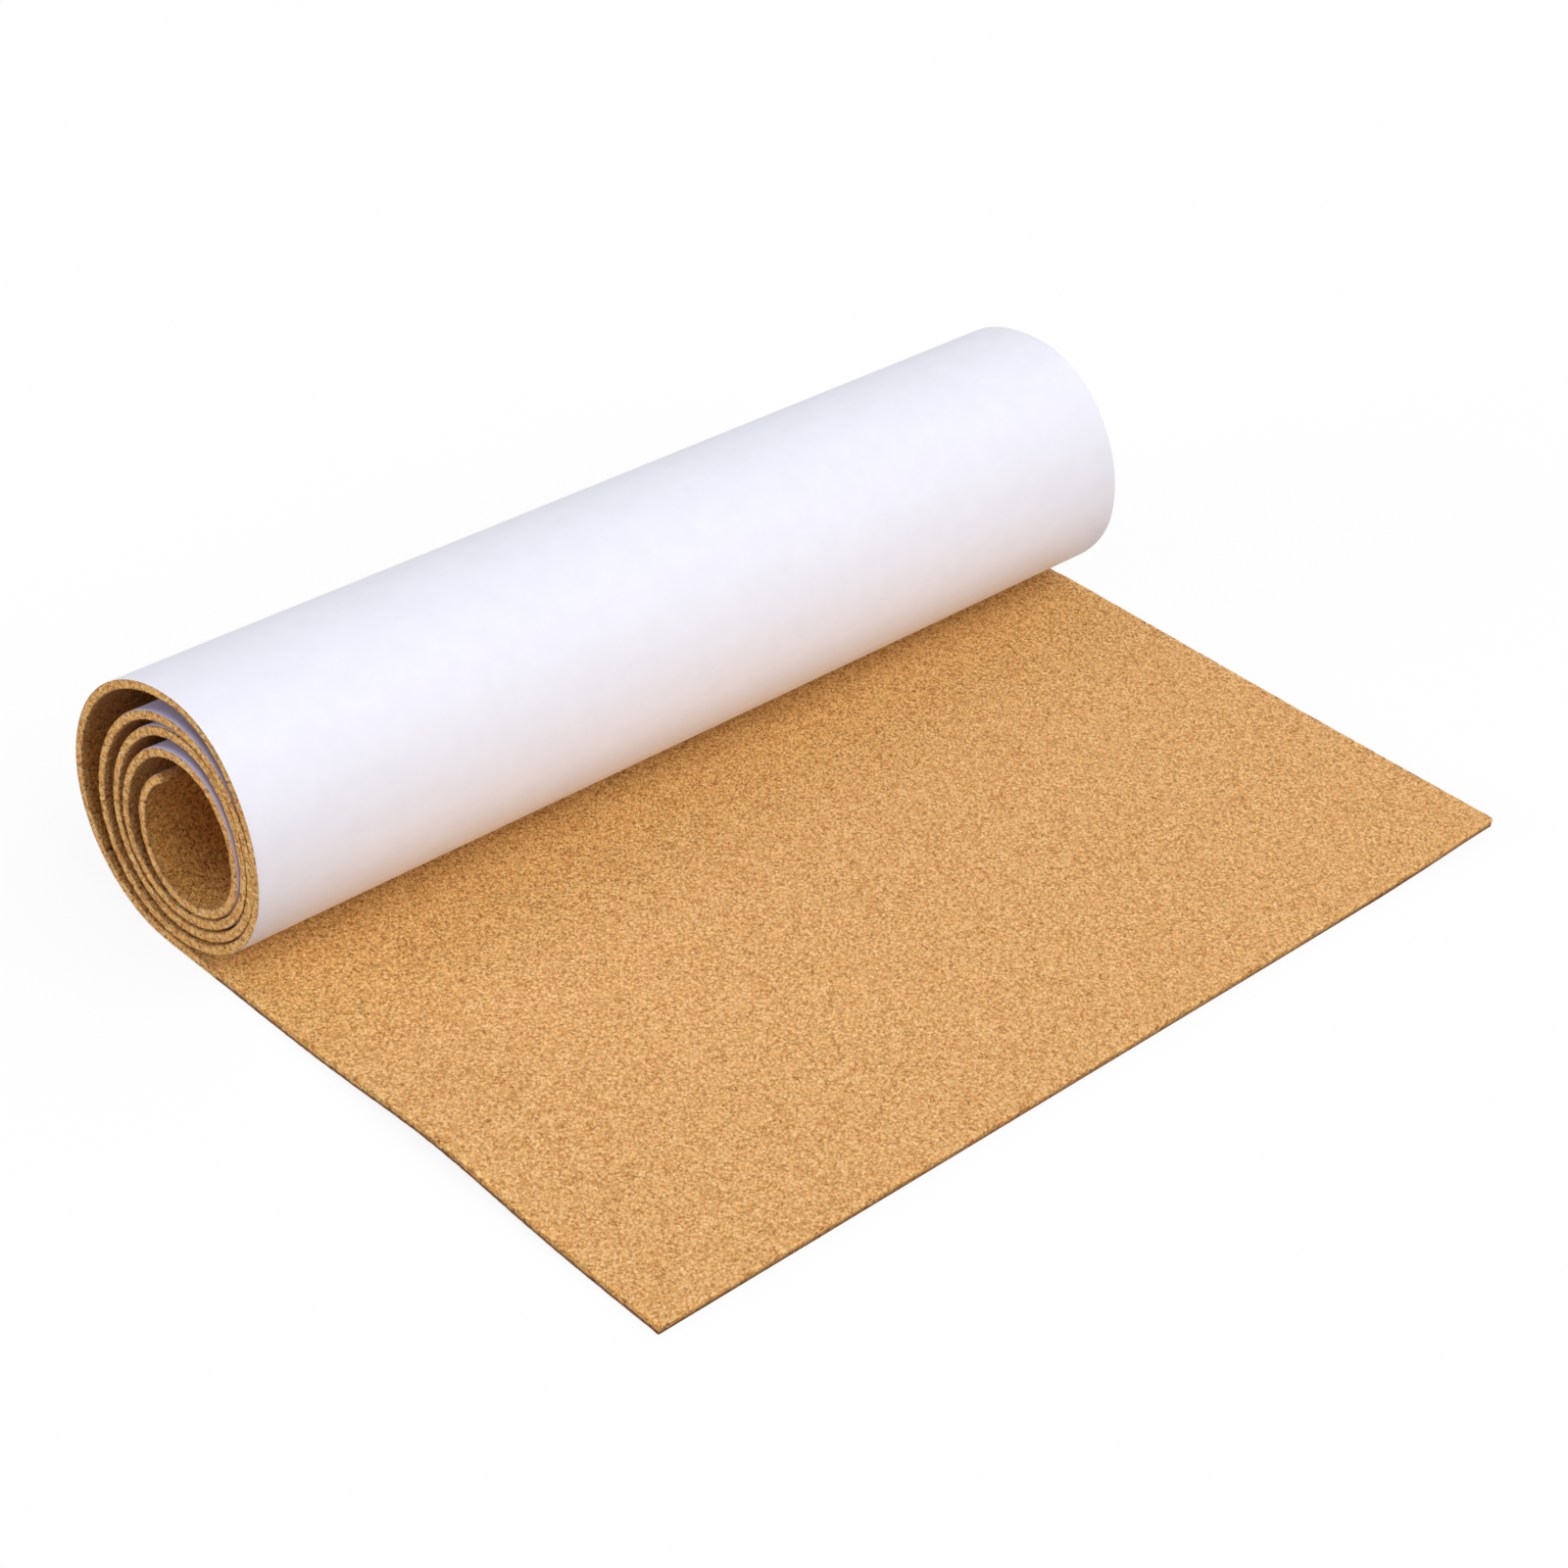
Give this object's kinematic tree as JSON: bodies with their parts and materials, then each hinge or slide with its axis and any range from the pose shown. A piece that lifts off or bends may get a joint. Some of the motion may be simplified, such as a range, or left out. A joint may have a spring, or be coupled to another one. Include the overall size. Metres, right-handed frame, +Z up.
{
  "type": "cork underlayment roll",
  "caption": "Loosely wound roll of agglomerated cork underlayment with a white peel-off paper on its back, its outer end lying flat.",
  "frame": {"origin": "centre of the footprint, on the floor", "axes": "+X along the roll, +Z up, and the flat end of the sheet points to -Y"},
  "size_m": [0.6, 0.426, 0.146],
  "materials": {
    "cork": "matt agglomerated cork granules",
    "paper": "smooth white release paper"
  },
  "bodies": {
    "root": {"cork_sheet": "cork", "backing_paper": "paper"}
  },
  "joints": []
}
